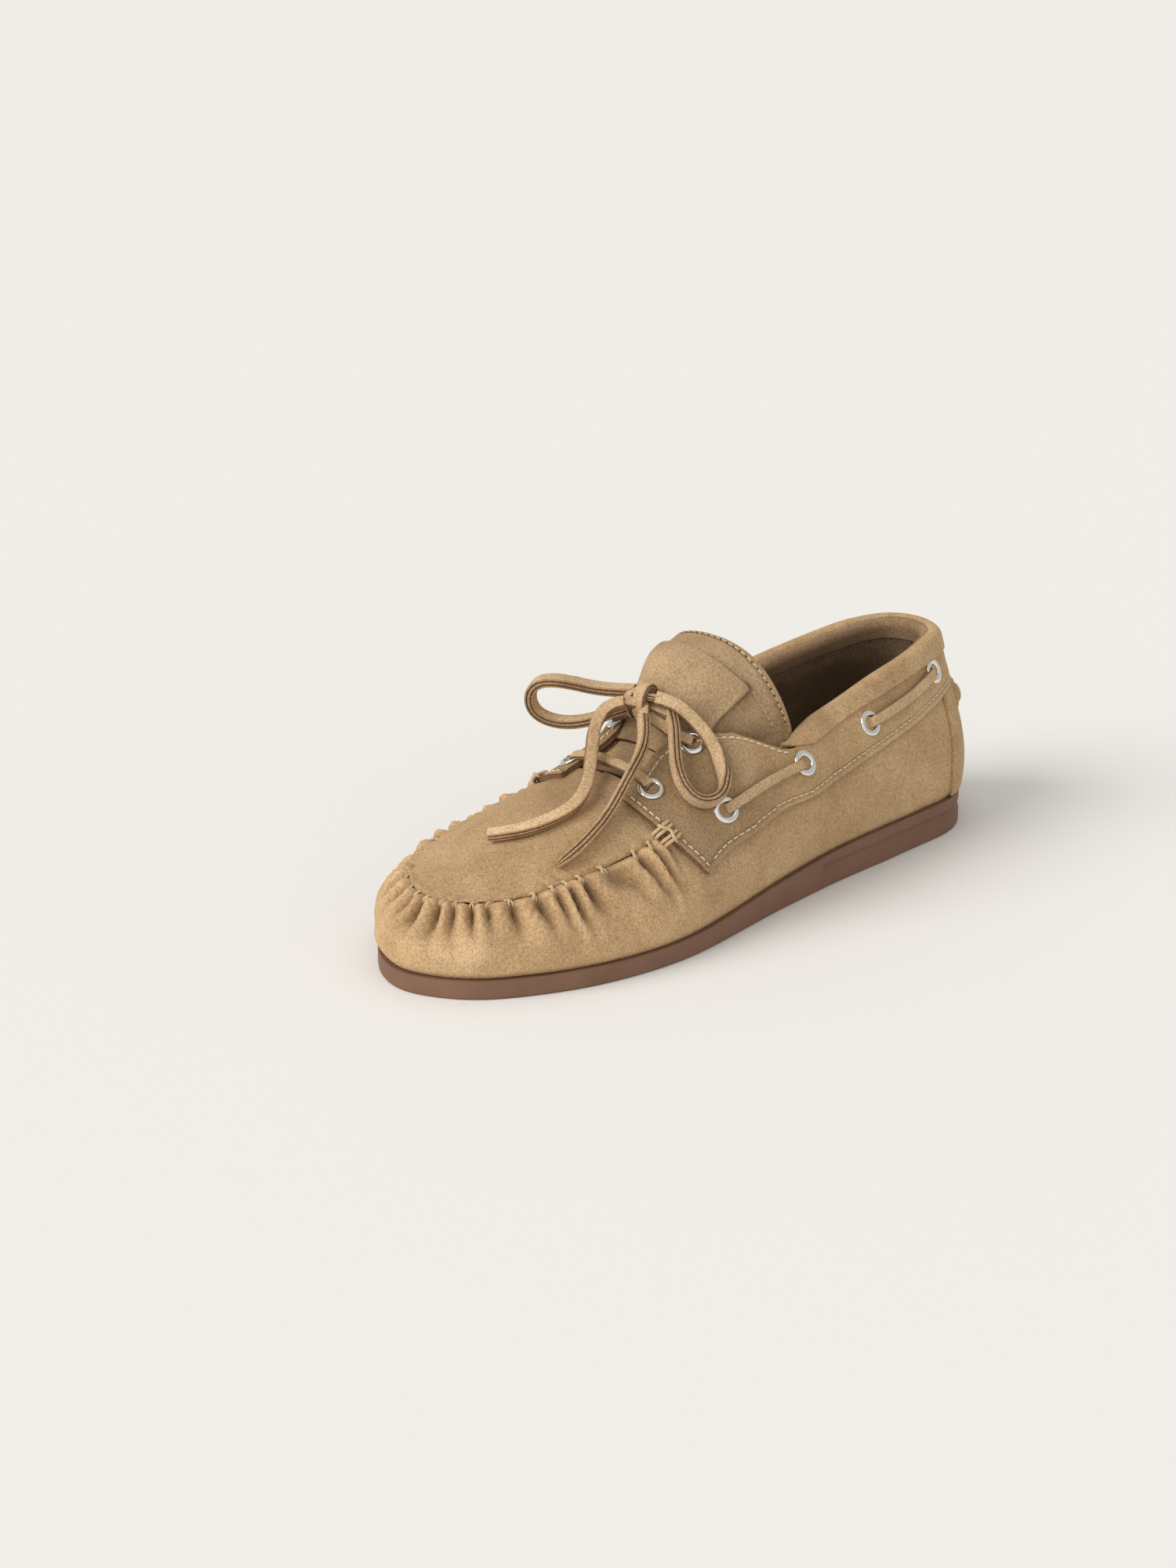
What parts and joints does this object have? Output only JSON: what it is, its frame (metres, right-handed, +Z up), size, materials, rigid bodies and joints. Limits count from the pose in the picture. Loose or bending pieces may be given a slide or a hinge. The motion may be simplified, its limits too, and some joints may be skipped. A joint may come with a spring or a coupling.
{
  "type": "boat moccasin",
  "caption": "Left suede boat moccasin with rawhide lace threaded round the collar, tied bow, wedge rubber sole and a tongue whose free top folds back into the opening.",
  "frame": {"origin": "bottom centre of the shoe's box, on the ground", "axes": "+Z up, -Y toward the toe, +Y toward the heel, +X toward the outer (lateral) side"},
  "size_m": [0.0874, 0.2576, 0.0865],
  "materials": {
    "suede": "napped",
    "lining_leather": "matte",
    "footbed_leather": "matte",
    "board": "matte",
    "rubber": "matte",
    "rawhide": "satin",
    "thread": "matte",
    "eyelet_metal": "polished"
  },
  "bodies": {
    "shoe": {"apron": "suede", "bar_tack_lateral": "thread", "bar_tack_medial": "thread", "bow_loop_lateral": "rawhide", "bow_loop_medial": "rawhide", "collar_lateral": "suede", "collar_lining": "lining_leather", "collar_medial": "suede", "collar_roll": "suede", "eyelet_lateral_1": "eyelet_metal", "eyelet_lateral_2": "eyelet_metal", "eyelet_lateral_3": "eyelet_metal", "eyelet_lateral_4": "eyelet_metal", "eyelet_lateral_5": "eyelet_metal", "eyelet_lateral_6": "eyelet_metal", "eyelet_medial_1": "eyelet_metal", "eyelet_medial_2": "eyelet_metal", "eyelet_medial_3": "eyelet_metal", "eyelet_medial_4": "eyelet_metal", "eyelet_medial_5": "eyelet_metal", "eyelet_medial_6": "eyelet_metal", "footbed": "footbed_leather", "heel_stay": "suede", "heel_stiffener": "lining_leather", "heel_tuck": "suede", "insole_board": "board", "knot": "rawhide", "lace_bar": "rawhide", "lace_pull_lateral": "rawhide", "lace_pull_medial": "rawhide", "lace_side_front_lateral": "rawhide", "lace_side_front_medial": "rawhide", "lace_side_rear_lateral": "rawhide", "lace_side_rear_medial": "rawhide", "lace_tail_front": "rawhide", "lace_tail_side": "rawhide", "lace_tunnel_heel": "rawhide", "lace_tunnel_lateral": "rawhide", "lace_tunnel_medial": "rawhide", "moc_seam_thread": "thread", "outsole": "rubber", "tongue_base": "suede", "tongue_base_lining": "lining_leather", "wall": "suede"},
    "tongue": {"tongue_flap": "suede", "tongue_flap_lining": "lining_leather", "tongue_overlay": "suede"}
  },
  "joints": [
    {"name": "tongue_fold", "type": "hinge", "parent": "shoe", "child": "tongue", "pos_m": [0, 0.0255, 0.0545], "axis": [-1, 0, 0], "range_deg": [0, 20], "stiffness_Nm_per_rad": 0.01}
  ]
}
